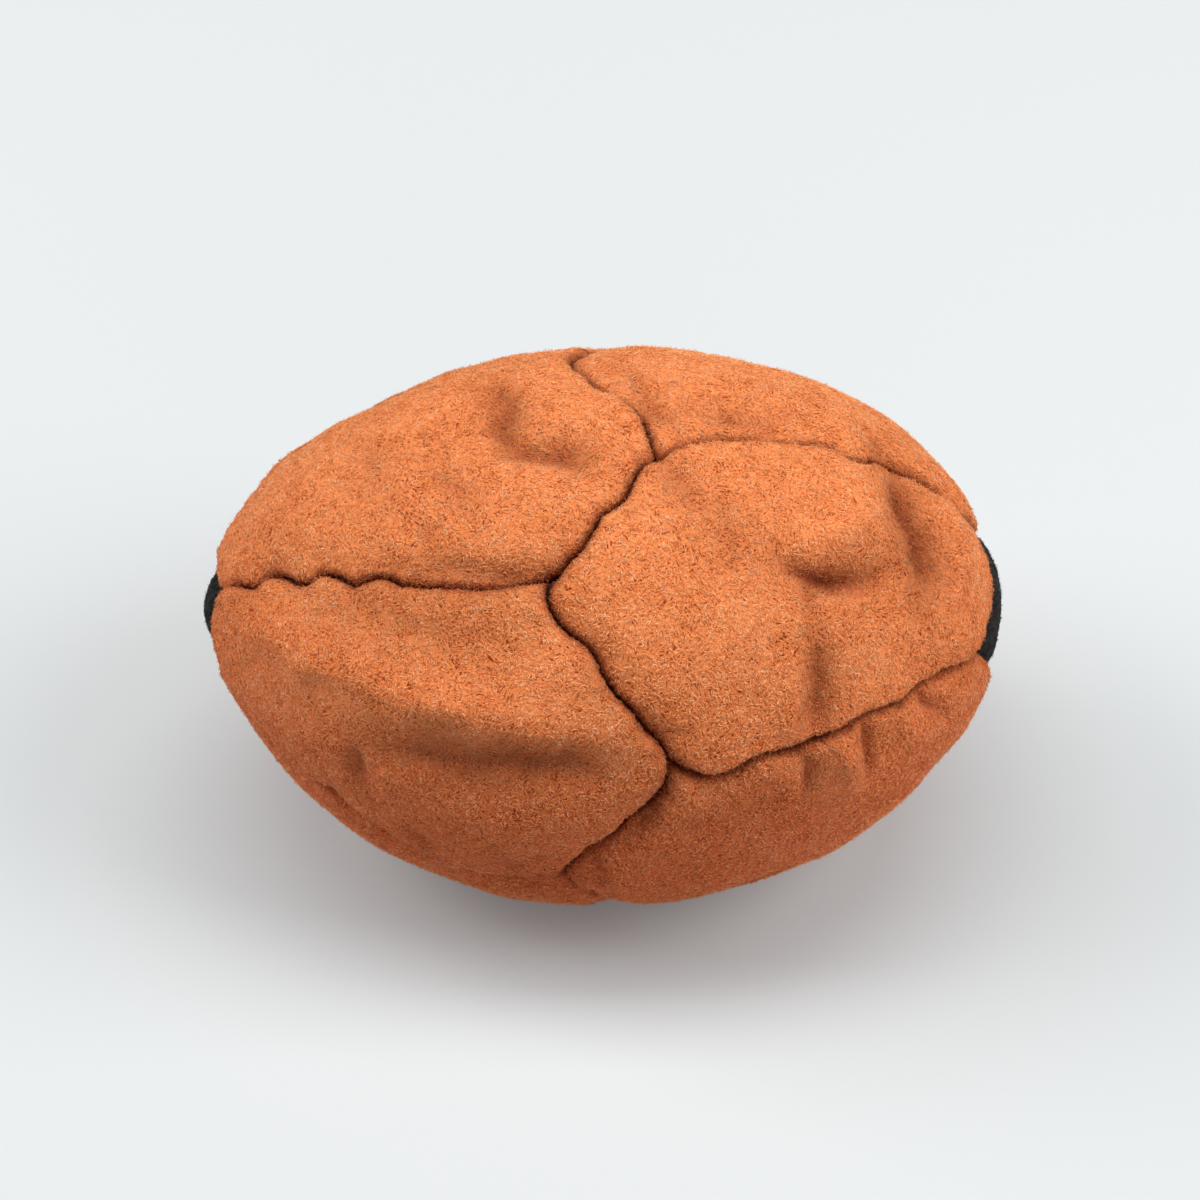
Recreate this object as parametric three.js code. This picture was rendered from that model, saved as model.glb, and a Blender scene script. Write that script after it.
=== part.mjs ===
// Oval sewn ball: suede panels over a cotton bag of sand.
// Millimetres, +Z up, long axis along X, front towards -Y, standing on the flat that it settles into.
import * as THREE from "three";

// Overall form
const halfLength = 55; // from the middle to either tip
const bellyRadius = 39; // of the round section at the middle
const tipLift = 3.5; // the tips ride higher than the middle, because the filling slumps
const settleDepth = 5; // how far the underside settles
const settleSoftness = 3; // height in which the settled face turns into the round
const flatDepth = 0.5; // depth of the flat that it stands on
const leftSlimShare = 0.16; // how much more the left half tapers than an ellipsoid
const slimFromShare = 0.2; // place along the half length where the extra taper starts
const slimFullShare = -0.6; // and where it is complete
const tipBluntShare = 0.3; // inside this share of the section the extra taper stays constant

// Suede panels
const suedeWall = 1.2;
const lipRadius = 1.5; // rounded turn of the suede into a seam
const seamDrawIn = 1.2; // how far a seam pulls the cover in
const drawInReach = 4; // how far from a seam that pull is felt
const crownRingDistance = 5; // from a seam to the ring where the crown begins
const crownRingShare = 0.5; // second ring of the crown, on the way to the panel's middle
const nearestRingsShare = 0.42; // the rings before it stay within this share of the way
const leastSlantShare = 0.35; // bounds how far a way that runs along its seam is stretched
const allowanceDepth = 2.4; // turned-in seam allowance below the lip
const allowanceWall = 1.2;
const seamHalfGap = 0.15; // half the gap between two turned-in edges

// Sewing threads, each in a bed between two turned-in edges
const threadBelowLip = 1.2;
const threadBedDepth = 0.6;
const threadBedHalfHeight = 0.6;
const threadRadius = 0.28;
const closingThreadRadius = 0.34; // the seam closed by hand has a heavier thread
const knotRadius = 0.42; // its knotted ends
const threadEndGap = 0.35; // clear of the thread that it ends at
const threadSides = 5;

// Cotton bag and sand
const linerWall = 0.4;
const linerClearance = 0.45; // between the suede and the bag
const linerSeamHalfGap = 0.5; // from the middle of the bag's seam to either half's edge
const linerBandDistance = 2.6; // half width of the valley that a turned-in edge presses into the bag
const linerThreadRadius = 0.2;
const sandClearance = 0.3; // between the bag and the sand

// Corners of the pattern: shares of the half length, and degrees round the ball from the front over the top
const leftCornerShares = [-0.125, -0.09, -0.12, -0.11, -0.1];
const leftCornerDegrees = [57, 122, 197, 272, 346.5];
const rightCornerShares = [0.135, 0.14, 0.13, 0.14, 0.155];
const rightCornerDegrees = [83.5, 158, 232, 308, 379];
const leftPatchShares = [-0.93, -0.935, -0.935, -0.935, -0.935];
const leftPatchDegrees = [59, 131, 203, 275, 347];
const rightPatchShares = [0.91, 0.915, 0.92, 0.915, 0.905];
const rightPatchDegrees = [100, 171, 243, 316, 389.5];

// How far each seam swings sideways at its inner stations, as shares of its length
const leftRaySwingShares = [
  [0.04, 0.02, 0.01, -0.02, -0.03],
  [0.02, 0.03, 0.01, -0.01, -0.02],
  [-0.02, 0.0, 0.03, 0.02, 0.0],
  [0.0, 0.02, -0.02, -0.03, -0.01],
  [0.1, 0.08, 0.02, 0.03, 0.02],
];
const rightRaySwingShares = [
  [0.08, 0.09, 0.09, 0.09, 0.05],
  [0.02, 0.04, 0.03, 0.0, -0.02],
  [-0.03, -0.02, 0.02, 0.03, 0.01],
  [0.02, -0.01, -0.03, 0.0, 0.02],
  [-0.045, -0.02, 0.0, 0.015, 0.01],
];
const zigzagSwingShares = [
  [-0.03, -0.02, 0.0, -0.01, 0.02],
  [-0.02, -0.03, 0.0, 0.03, 0.03],
  [0.02, 0.03, 0.01, -0.02, -0.02],
  [-0.02, -0.01, 0.02, 0.03, 0.01],
  [-0.03, -0.03, 0.0, 0.02, 0.03],
  [0.01, 0.03, 0.03, 0.0, -0.02],
  [-0.02, 0.0, 0.03, 0.02, 0.0],
  [0.03, 0.02, -0.01, -0.02, 0.0],
  [0.01, 0.0, -0.02, -0.05, -0.06],
  [0.0, 0.015, 0.03, 0.035, 0.06],
];
const patchSwingShares = [0.08, 0.12, 0.08];

const suedeOrange = new THREE.MeshStandardMaterial({ color: "#d8793f", roughness: 0.95, metalness: 0 });
const suedeBlack = new THREE.MeshStandardMaterial({ color: "#2c2b2a", roughness: 0.95, metalness: 0 });
const polyesterThread = new THREE.MeshStandardMaterial({ color: "#3a2418", roughness: 0.6, metalness: 0 });
const cottonCloth = new THREE.MeshStandardMaterial({ color: "#d8cdb4", roughness: 0.9, metalness: 0 });
const drySand = new THREE.MeshStandardMaterial({ color: "#bfa377", roughness: 1, metalness: 0 });

const sides = 5; // panels round each half
const turn = (i) => (i + sides) % sides;

// A direction from the ball's middle on a unit sphere
function directionAt(lengthShare, degrees) {
  const angle = THREE.MathUtils.degToRad(degrees);
  const across = Math.sqrt(1 - lengthShare ** 2);
  return new THREE.Vector3(lengthShare, -across * Math.cos(angle), across * Math.sin(angle));
}

// The ball's form before the panels: an ellipsoid with a slimmer left half, lifted tips and a settled underside
function formPoint(direction) {
  const across = Math.hypot(direction.y, direction.z);
  const slim = leftSlimShare * THREE.MathUtils.smoothstep(-direction.x, -slimFromShare, -slimFullShare);
  const radius = bellyRadius * Math.max(across, tipBluntShare) ** slim;
  const lifted = radius * direction.z + tipLift * direction.x ** 2;
  return new THREE.Vector3(halfLength * direction.x, radius * direction.y, settled(lifted));
}

// Smooth maximum of a height and the level that the underside settles to
function settled(height) {
  const level = settleDepth - bellyRadius;
  const above = THREE.MathUtils.clamp(0.5 + (height - level) / (2 * settleSoftness), 0, 1);
  return THREE.MathUtils.lerp(level, height, above) + settleSoftness * above * (1 - above);
}

function formNormal(direction) {
  const { x, y, z } = direction;
  return new THREE.Vector3(x / halfLength, y / bellyRadius, z / bellyRadius).normalize();
}

function sunkPoint(direction, depth) {
  return formPoint(direction).addScaledVector(formNormal(direction), -depth);
}

// How deep a seam pulls the cover in at a distance from it
const pulledIn = (distance) => seamDrawIn * Math.exp(-distance / drawInReach);

const lipDepth = seamDrawIn + lipRadius; // depth of the bottom of the lip
const threadDepth = lipDepth + threadBelowLip;
const allowanceBottom = lipDepth + allowanceDepth;

// A corner, or one station of a seam
const station = (direction) => ({ direction });

// A seam from one corner to another: a great arc that swings sideways by its shares
function seam(from, to, swingShares) {
  const a = from.direction;
  const b = to.direction;
  const arc = a.angleTo(b);
  const sideways = a.clone().cross(b).normalize();
  const inner = swingShares.map((share, i) => {
    const way = (i + 1) / (swingShares.length + 1);
    const onArc = a.clone().multiplyScalar(Math.sin((1 - way) * arc));
    onArc.addScaledVector(b, Math.sin(way * arc)).divideScalar(Math.sin(arc));
    return station(onArc.addScaledVector(sideways, share * arc).normalize());
  });
  return [from, ...inner, to];
}

const cornersOf = (shares, degrees) => shares.map((share, i) => station(directionAt(share, degrees[i])));
const leftCorners = cornersOf(leftCornerShares, leftCornerDegrees);
const rightCorners = cornersOf(rightCornerShares, rightCornerDegrees);
const leftPatchCorners = cornersOf(leftPatchShares, leftPatchDegrees);
const rightPatchCorners = cornersOf(rightPatchShares, rightPatchDegrees);

const leftRays = leftCorners.map((corner, i) => seam(corner, leftPatchCorners[i], leftRaySwingShares[i]));
const rightRays = rightCorners.map((corner, i) => seam(corner, rightPatchCorners[i], rightRaySwingShares[i]));
const zigzags = leftCorners.flatMap((corner, i) => [
  seam(corner, rightCorners[i], zigzagSwingShares[2 * i]),
  seam(rightCorners[i], leftCorners[turn(i + 1)], zigzagSwingShares[2 * i + 1]),
]);
const leftPatchSeams = leftPatchCorners.map((corner, i) =>
  seam(corner, leftPatchCorners[turn(i + 1)], patchSwingShares));
const rightPatchSeams = rightPatchCorners.map((corner, i) =>
  seam(corner, rightPatchCorners[turn(i + 1)], patchSwingShares.map((share) => -share)));

const reversed = (seamStations) => [...seamStations].reverse();
const zigzag = (i) => zigzags[(i + zigzags.length) % zigzags.length];

// Each panel's seams in order, anticlockwise seen from outside
const leftOutlines = leftCorners.map((_, i) => [
  reversed(leftRays[i]), zigzag(2 * i), zigzag(2 * i + 1), leftRays[turn(i + 1)], reversed(leftPatchSeams[i]),
]);
const rightOutlines = rightCorners.map((_, i) => [
  reversed(rightRays[i]), reversed(zigzag(2 * i)), reversed(zigzag(2 * i - 1)),
  rightRays[turn(i - 1)], rightPatchSeams[turn(i - 1)],
]);
const leftPatchOutline = leftPatchSeams;
const rightPatchOutline = [...rightPatchSeams].reverse().map(reversed);

// The stations of a closed outline, each with the way into the panel along the surface
function borderOf(outline) {
  const loop = outline.flatMap((seamStations) => seamStations.slice(0, -1));
  return loop.map((here, i) => {
    const point = formPoint(here.direction);
    const normal = formNormal(here.direction);
    const before = formPoint(loop[(i - 1 + loop.length) % loop.length].direction);
    const after = formPoint(loop[(i + 1) % loop.length].direction);
    const inwards = [point.clone().sub(before), after.sub(point)].map((run) => normal.clone().cross(run).normalize());
    const inward = inwards[0].clone().add(inwards[1]).divideScalar(1 + inwards[0].dot(inwards[1]));
    return { station: here, direction: here.direction, inward };
  });
}

// Middle of a panel, as a direction
function middleOf(border) {
  const sum = new THREE.Vector3();
  border.forEach(({ direction }) => sum.add(direction));
  return sum.normalize();
}

// A point a share of the way from the seam to the panel's middle, sunk below the form
function shareTowardsMiddle(edge, middle, share, depth) {
  const direction = edge.direction.clone().lerp(middle, share).normalize();
  return sunkPoint(direction, depth);
}

// The same at a distance square to the seam, so a slanting way to the middle goes further
function towardsMiddle(edge, middle, distance, depthAt) {
  const way = formPoint(middle).sub(formPoint(edge.direction));
  const slant = edge.inward.lengthSq() / Math.max(edge.inward.dot(way) / way.length(), leastSlantShare);
  const share = Math.min((slant * distance) / way.length(), nearestRingsShare);
  return shareTowardsMiddle(edge, middle, share, depthAt(distance));
}

// Adds the faces between two rings of points, or from a ring to one point
function joinRings(faces, outer, inner) {
  outer.forEach((point, i) => {
    const next = (i + 1) % outer.length;
    faces.push([point, outer[next], inner[next]], [point, inner[next], inner[i]]);
  });
}

function closeRing(faces, ring, tip) {
  ring.forEach((point, i) => faces.push([point, ring[(i + 1) % ring.length], tip]));
}

function geometryOf(faces) {
  const geometry = new THREE.BufferGeometry().setFromPoints(faces.flat());
  geometry.computeVertexNormals();
  return geometry;
}

// One panel: crowned suede whose edge turns in over a rounded lip and ends in the seam allowance
function panelFaces(outline, middleDirection, crownDistances) {
  const border = borderOf(outline);
  const middle = middleDirection ?? middleOf(border);
  const wayLength = formPoint(border[0].direction).distanceTo(formPoint(middle));
  const ring = (place) => border.map(place);
  const face = (depth, inset) => ring((edge) =>
    sunkPoint(edge.direction, depth).addScaledVector(edge.inward, seamHalfGap + inset));
  const under = (distance) => pulledIn(distance) + suedeWall;
  const lipInset = lipRadius * (1 - Math.SQRT1_2);
  const lipStart = seamHalfGap + lipRadius;
  const crown = (depthAt) => [
    ring((edge) => shareTowardsMiddle(edge, middle, crownRingShare, depthAt(crownRingShare * wayLength))),
    ...crownDistances.map((distance) => ring((edge) => towardsMiddle(edge, middle, distance, depthAt))),
    ring((edge) => towardsMiddle(edge, middle, lipStart, depthAt)),
  ];
  const outsideRings = [
    ...crown(pulledIn),
    ring((edge) => towardsMiddle(edge, middle, seamHalfGap + lipInset, () => seamDrawIn + lipInset)),
    face(lipDepth, 0),
  ];
  const turnedInRings = [
    face(threadDepth - threadBedHalfHeight, 0),
    face(threadDepth, threadBedDepth),
    face(threadDepth + threadBedHalfHeight, 0),
    face(allowanceBottom, 0),
    face(allowanceBottom, allowanceWall),
  ];
  const rings = [...outsideRings, ...turnedInRings, ...crown(under).reverse()];
  const faces = [];
  const outerTip = sunkPoint(middle, pulledIn(wayLength));
  const innerTip = outerTip.clone().addScaledVector(formNormal(middle), -suedeWall);
  closeRing(faces, rings[0], outerTip);
  rings.slice(1).forEach((outer, i) => joinRings(faces, outer, rings[i]));
  closeRing(faces, [...rings.at(-1)].reverse(), innerTip);
  return { faces, outside: [outerTip, ...outsideRings.flat()] };
}

// A thread of several sides along stations of a seam, sunk to its bed
function threadFaces(stations, depth, radiusAt, isLoop) {
  const count = stations.length;
  const places = stations.map(({ direction }) => sunkPoint(direction, depth));
  if (!isLoop) {
    const trim = 2 * threadRadius + threadEndGap;
    const first = places[1].clone().sub(places[0]).setLength(trim).add(places[0]);
    const last = places[count - 2].clone().sub(places[count - 1]).setLength(trim).add(places[count - 1]);
    places[0] = first;
    places[count - 1] = last;
  }
  const rings = places.map((place, i) => {
    const before = places[isLoop ? (i - 1 + count) % count : Math.max(i - 1, 0)];
    const after = places[isLoop ? (i + 1) % count : Math.min(i + 1, count - 1)];
    const up = formNormal(stations[i].direction);
    const side = up.clone().cross(after.clone().sub(before)).normalize();
    return Array.from({ length: threadSides }, (_, k) => {
      const angle = (2 * Math.PI * k) / threadSides;
      const point = place.clone().addScaledVector(up, radiusAt(i) * Math.cos(angle));
      return point.addScaledVector(side, radiusAt(i) * Math.sin(angle));
    });
  });
  const faces = [];
  rings.slice(1).forEach((outer, i) => joinRings(faces, outer, rings[i]));
  if (isLoop) {
    joinRings(faces, rings[0], rings.at(-1));
  } else {
    closeRing(faces, rings[0], places[0]);
    closeRing(faces, [...rings.at(-1)].reverse(), places[count - 1]);
  }
  return faces;
}

// The zigzag seam as one loop, with the way from it into the left half
const closedLoop = (seams) => seams.flatMap((seamStations) => seamStations.slice(0, -1));
const middleLoop = closedLoop(zigzags);
const leftwards = new Map(borderOf(zigzags).map(({ station: here, inward }) => [here, inward]));

// A quilted surface under the panels at a depth below the cover, opened along the middle seam by a half gap
function quiltFaces(outlines, extraDepth, openTo, halfGap) {
  const faces = [];
  const depthAt = (distance) => pulledIn(distance) + suedeWall + linerClearance + extraDepth;
  const seamDepth = () => allowanceBottom + linerClearance + extraDepth;
  outlines.forEach(({ outline, middle: middleDirection }) => {
    const border = borderOf(outline);
    const middle = middleDirection ?? middleOf(border);
    const edge = border.map(({ station: here, direction }) => {
      const point = sunkPoint(direction, seamDepth());
      const opening = halfGap && leftwards.get(here);
      return opening ? point.addScaledVector(opening, openTo * halfGap) : point;
    });
    const band = border.map((place) => towardsMiddle(place, middle, linerBandDistance, seamDepth));
    const crown = border.map((place) => towardsMiddle(place, middle, crownRingDistance, depthAt));
    joinRings(faces, edge, band);
    joinRings(faces, band, crown);
    closeRing(faces, crown, sunkPoint(middle, depthAt(crownRingDistance)));
  });
  return faces;
}

const flipped = (faces) => faces.map(([a, b, c]) => [a, c, b]);

// One half of the bag: an open shell whose edge follows the middle seam
function linerHalfFaces(outlines, openTo) {
  const outside = quiltFaces(outlines, 0, openTo, linerSeamHalfGap);
  const inside = quiltFaces(outlines, linerWall, openTo, linerSeamHalfGap);
  const edgeAt = (depth) => middleLoop.map((here) =>
    sunkPoint(here.direction, depth).addScaledVector(leftwards.get(here), openTo * linerSeamHalfGap));
  const edge = [];
  const top = allowanceBottom + linerClearance;
  joinRings(edge, edgeAt(top), edgeAt(top + linerWall));
  return [...outside, ...flipped(inside), ...(openTo > 0 ? flipped(edge) : edge)];
}

const ball = new THREE.Group();

function addPiece(name, faces, material) {
  const mesh = new THREE.Mesh(geometryOf(faces), material);
  mesh.name = name;
  ball.add(mesh);
}

// Panels, cut flat where the ball stands
const leftTip = new THREE.Vector3(-1, 0, 0);
const rightTip = new THREE.Vector3(1, 0, 0);
const sideCrown = [crownRingDistance];
const panels = [
  ...leftOutlines.map((outline, i) => ({ name: `left_panel_${i + 1}`, outline, crown: sideCrown })),
  ...rightOutlines.map((outline, i) => ({ name: `right_panel_${i + 1}`, outline, crown: sideCrown })),
  { name: "left_end_patch", outline: leftPatchOutline, middle: leftTip, crown: [] },
  { name: "right_end_patch", outline: rightPatchOutline, middle: rightTip, crown: [] },
];
panels.forEach((panel) => Object.assign(panel, panelFaces(panel.outline, panel.middle, panel.crown)));
const restLevel = flatDepth + Math.min(...panels.flatMap(({ outside }) => outside.map(({ z }) => z)));
panels.forEach(({ name, faces, outside }) => {
  outside.forEach((point) => point.setZ(Math.max(point.z, restLevel)));
  addPiece(name, faces, name.endsWith("patch") ? suedeBlack : suedeOrange);
});

// Threads
const evenThread = () => threadRadius;
addPiece("middle_seam_thread", threadFaces(middleLoop, threadDepth, evenThread, true), polyesterThread);
addPiece("left_end_thread", threadFaces(closedLoop(leftPatchSeams), threadDepth, evenThread, true), polyesterThread);
addPiece("right_end_thread", threadFaces(closedLoop(rightPatchSeams), threadDepth, evenThread, true), polyesterThread);
leftRays.forEach((ray, i) => {
  const isEnd = (k) => k === 0 || k === ray.length - 1;
  const closing = (k) => (isEnd(k) ? knotRadius : closingThreadRadius);
  const radiusAt = i === 0 ? closing : evenThread;
  addPiece(`left_seam_thread_${i + 1}`, threadFaces(ray, threadDepth, radiusAt, false), polyesterThread);
});
rightRays.forEach((ray, i) => {
  addPiece(`right_seam_thread_${i + 1}`, threadFaces(ray, threadDepth, evenThread, false), polyesterThread);
});

// Cotton bag and sand
const leftQuilt = [...leftOutlines.map((outline) => ({ outline })), { outline: leftPatchOutline, middle: leftTip }];
const rightQuilt = [...rightOutlines.map((outline) => ({ outline })), { outline: rightPatchOutline, middle: rightTip }];
addPiece("liner_left_half", linerHalfFaces(leftQuilt, 1), cottonCloth);
addPiece("liner_right_half", linerHalfFaces(rightQuilt, -1), cottonCloth);
const linerThreadDepth = allowanceBottom + linerClearance + linerWall / 2;
const linerThread = threadFaces(middleLoop, linerThreadDepth, () => linerThreadRadius, true);
addPiece("liner_seam_thread", linerThread, polyesterThread);
const sandDepth = linerWall + sandClearance;
addPiece("sand_filling", quiltFaces([...leftQuilt, ...rightQuilt], sandDepth, 0, 0), drySand);

ball.position.z = -restLevel;
const part = new THREE.Group();
part.add(ball);
export default part;
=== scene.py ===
# Oval soft ball: twelve suede panels, sewn inside out and turned, over a cotton bag of sand.
# Shapes are worked out in millimetres round the ball's own middle, then set down in metres.
import itertools
import math

import bmesh
import bpy
import numpy as np
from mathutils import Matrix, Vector


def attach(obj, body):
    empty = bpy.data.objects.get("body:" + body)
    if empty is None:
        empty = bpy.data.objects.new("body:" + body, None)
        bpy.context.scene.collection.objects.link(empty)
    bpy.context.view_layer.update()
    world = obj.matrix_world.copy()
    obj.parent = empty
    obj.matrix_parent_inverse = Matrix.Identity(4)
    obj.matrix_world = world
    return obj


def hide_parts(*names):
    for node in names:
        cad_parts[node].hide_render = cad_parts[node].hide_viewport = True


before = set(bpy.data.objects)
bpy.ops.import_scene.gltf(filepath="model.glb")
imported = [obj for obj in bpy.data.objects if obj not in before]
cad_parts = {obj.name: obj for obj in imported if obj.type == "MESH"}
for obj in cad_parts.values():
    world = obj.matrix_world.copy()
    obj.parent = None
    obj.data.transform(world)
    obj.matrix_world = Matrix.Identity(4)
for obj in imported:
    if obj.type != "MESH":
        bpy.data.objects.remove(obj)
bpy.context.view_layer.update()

# The ball's form, in mm
ball = {
    "halfLength": 55.0,
    "bellyRadius": 39.0,
    "tipLift": 3.5,  # the tips ride higher than the middle
    "settleDepth": 5.0,  # how far the underside settles under the sand
    "settleSoftness": 3.0,
    "leftSlimShare": 0.16,  # extra taper of the left half
    "slimFromShare": 0.2,
    "slimFullShare": -0.6,
    "tipBluntShare": 0.3,
}

# The left tip of the cover is a known height over the ball's middle
tip = min((v.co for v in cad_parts["left_end_patch"].data.vertices), key=lambda co: co.x)
ballMiddle = np.array([0.0, 0.0, tip.z * 1000 - ball["tipLift"]])


def unit(v):
    return v / np.linalg.norm(v, axis=-1, keepdims=True)


def smoothstep(low, high, x):
    t = np.clip((x - low) / (high - low), 0, 1)
    return t * t * (3 - 2 * t)


# A place on the cover: share of the half length, degrees round from the front over the top
def directionAt(lengthShare, degrees):
    angle = math.radians(degrees)
    across = math.sqrt(1 - lengthShare**2)
    return np.array([lengthShare, -across * math.cos(angle), across * math.sin(angle)])


def formPoint(s):
    b = ball
    across = np.hypot(s[..., 1], s[..., 2])
    slim = b["leftSlimShare"] * smoothstep(-b["slimFromShare"], -b["slimFullShare"], -s[..., 0])
    radius = b["bellyRadius"] * np.maximum(across, b["tipBluntShare"]) ** slim
    height = radius * s[..., 2] + b["tipLift"] * s[..., 0] ** 2
    level = b["settleDepth"] - b["bellyRadius"]
    soft = b["settleSoftness"]
    above = np.clip(0.5 + (height - level) / (2 * soft), 0, 1)
    settled = level * (1 - above) + height * above + soft * above * (1 - above)
    return np.stack([b["halfLength"] * s[..., 0], radius * s[..., 1], settled], -1)


def formNormal(s):
    return unit(s / np.array([ball["halfLength"], ball["bellyRadius"], ball["bellyRadius"]]))


noiseGain = 1.6  # brings the noise to between about -1 and 1
# Each random draw starts from its own number, so that every run makes the same ball
seeds = {
    "seam": 100,
    "pucker": 60,
    "puckerBack": 200,  # added on the other panel of a seam
    "dentDepth": 90,
    "dentDrift": (91, 92, 93),
    "napLay": 31,
    "nap": 500,
    "fuzz": 600,
}


# Smooth noise with features of a size in mm
def softNoise(points, size, seed):
    source = np.random.default_rng(seed)
    table = source.permutation(256)
    slopes = unit(source.normal(size=(256, 3)))
    flat = points.reshape(-1, 3) / size
    cell = np.floor(flat).astype(int)
    inside = flat - cell
    fade = inside**3 * (inside * (inside * 6 - 15) + 10)
    total = np.zeros(len(flat))
    for corner in itertools.product((0, 1), repeat=3):
        c = cell + corner
        pick = table[(table[(table[c[:, 0] & 255] + c[:, 1]) & 255] + c[:, 2]) & 255]
        weight = np.prod(np.where(corner, fade, 1 - fade), axis=1)
        total += weight * np.einsum("ij,ij->i", slopes[pick], inside - corner)
    return noiseGain * total.reshape(points.shape[:-1])


# A smooth curve through values at given places
def smoothThrough(places, values, at):
    places, values = np.asarray(places, float), np.asarray(values, float)
    slopes = np.gradient(values, places)
    k = np.clip(np.searchsorted(places, at) - 1, 0, len(places) - 2)
    run = places[k + 1] - places[k]
    t = (at - places[k]) / run
    ends = values[k] * (1 + 2 * t) * (1 - t) ** 2 + values[k + 1] * t * t * (3 - 2 * t)
    return ends + run * (slopes[k] * t * (1 - t) ** 2 - slopes[k + 1] * t * t * (1 - t))


def evenly(values, at):
    return smoothThrough(np.linspace(0, 1, len(values)), values, at)


# Distance of each point from a line of points, and the index nearest to it
def nearestOn(points, line):
    flat = points.reshape(-1, 3)
    squares = (flat**2).sum(1)[:, None] + (line**2).sum(1)[None] - 2 * flat @ line.T
    k = squares.argmin(1)
    best = np.linalg.norm(flat - line[k], axis=1)
    for step in (-1, 1):
        other = np.clip(k + step, 0, len(line) - 1)
        run = line[other] - line[k]
        size = np.maximum((run**2).sum(1), 1e-12)
        t = np.clip(((flat - line[k]) * run).sum(1) / size, 0, 1)
        best = np.minimum(best, np.linalg.norm(flat - line[k] - t[:, None] * run, axis=1))
    return best.reshape(points.shape[:-1]), k.reshape(points.shape[:-1])


# A mesh object from points in mm round the ball's middle, and arrays of faces of 3 or 4 corners
def buildMesh(name, points, faceSets):
    mesh = bpy.data.meshes.new(name)
    world = (points + ballMiddle) / 1000
    sizes = np.concatenate([np.full(len(f), f.shape[1]) for f in faceSets])
    loops = np.concatenate([f.ravel() for f in faceSets])
    mesh.vertices.add(len(world))
    mesh.vertices.foreach_set("co", world.astype(np.float32).ravel())
    mesh.loops.add(len(loops))
    mesh.loops.foreach_set("vertex_index", loops.astype(np.int32))
    mesh.polygons.add(len(sizes))
    mesh.polygons.foreach_set("loop_start", (np.cumsum(sizes) - sizes).astype(np.int32))
    mesh.polygons.foreach_set("use_smooth", np.full(len(sizes), True))
    mesh.update(calc_edges=True)
    mesh.validate()
    piece = bpy.data.objects.new(name, mesh)
    bpy.context.scene.collection.objects.link(piece)
    return piece


# Corners of the pattern, as length shares and degrees
corners = {
    "left": [(-0.125, 57), (-0.09, 122), (-0.12, 197), (-0.11, 272), (-0.1, 346.5)],
    "right": [(0.135, 83.5), (0.14, 158), (0.13, 232), (0.14, 308), (0.155, 379)],
    "leftPatch": [(-0.93, 59), (-0.935, 131), (-0.935, 203), (-0.935, 275), (-0.935, 347)],
    "rightPatch": [(0.91, 100), (0.915, 171), (0.92, 243), (0.915, 316), (0.905, 389.5)],
}

# Each seam: its sideways swing as shares of its length, at even stations or as (way, swing) where it is
# seen to wander, and how far in mm the panel on its left rides over the other one, at even stations
closingSwing = [
    (0.0, 0.0), (0.02, 0.008), (0.08, 0.027), (0.14, 0.041), (0.22, 0.034), (0.3, 0.027), (0.36, 0.017),
    (0.395, -0.003), (0.425, -0.008), (0.465, 0.005), (0.495, 0.013), (0.525, -0.005), (0.565, -0.028),
    (0.605, -0.025), (0.64, 0.0), (0.67, 0.0), (0.71, -0.016), (0.745, -0.034), (0.785, -0.035),
    (0.83, 0.003), (0.88, 0.004), (0.95, -0.01), (1.0, 0.0),
]
upperRightSwing = [
    (0.0, 0.0), (0.06, 0.05), (0.12, 0.074), (0.25, 0.086), (0.38, 0.093), (0.46, 0.106), (0.52, 0.072),
    (0.57, 0.078), (0.64, 0.117), (0.73, 0.112), (0.82, 0.08), (0.92, 0.05), (1.0, 0.0),
]
upperMiddleSwing = [
    (0.0, 0.0), (0.13, -0.013), (0.21, -0.022), (0.3, -0.035), (0.37, -0.028), (0.45, -0.01), (0.52, 0.022),
    (0.6, 0.037), (0.68, 0.03), (0.78, 0.034), (0.9, 0.018), (1.0, 0.0),
]
innerMiddleSwing = [
    (0.0, 0.0), (0.06, -0.02), (0.14, -0.019), (0.23, -0.036), (0.35, -0.02), (0.43, -0.004), (0.49, 0.012),
    (0.57, -0.012), (0.65, -0.02), (0.75, -0.003), (0.84, 0.019), (0.92, 0.028), (1.0, 0.0),
]
lowerMiddleSwing = [
    (0.0, 0.0), (0.11, -0.008), (0.19, 0.007), (0.3, 0.01), (0.4, 0.027), (0.5, 0.03), (0.6, 0.016),
    (0.66, 0.02), (0.74, 0.05), (0.84, 0.061), (0.93, 0.045), (1.0, 0.0),
]
lowerRightSwing = [
    (0.0, 0.0), (0.04, -0.033), (0.1, -0.068), (0.15, -0.065), (0.2, -0.037), (0.25, -0.027),
    (0.32, -0.046), (0.38, -0.035), (0.47, -0.015), (0.55, 0.003), (0.61, -0.007), (0.66, -0.018),
    (0.73, -0.004), (0.82, 0.004), (0.9, -0.004), (1.0, 0.0),
]
frontMiddleSwing = [
    (0.0, 0.0), (0.1, 0.012), (0.21, 0.014), (0.38, -0.014), (0.54, -0.03), (0.7, -0.06), (0.82, -0.065),
    (0.91, -0.04), (1.0, 0.0),
]
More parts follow.
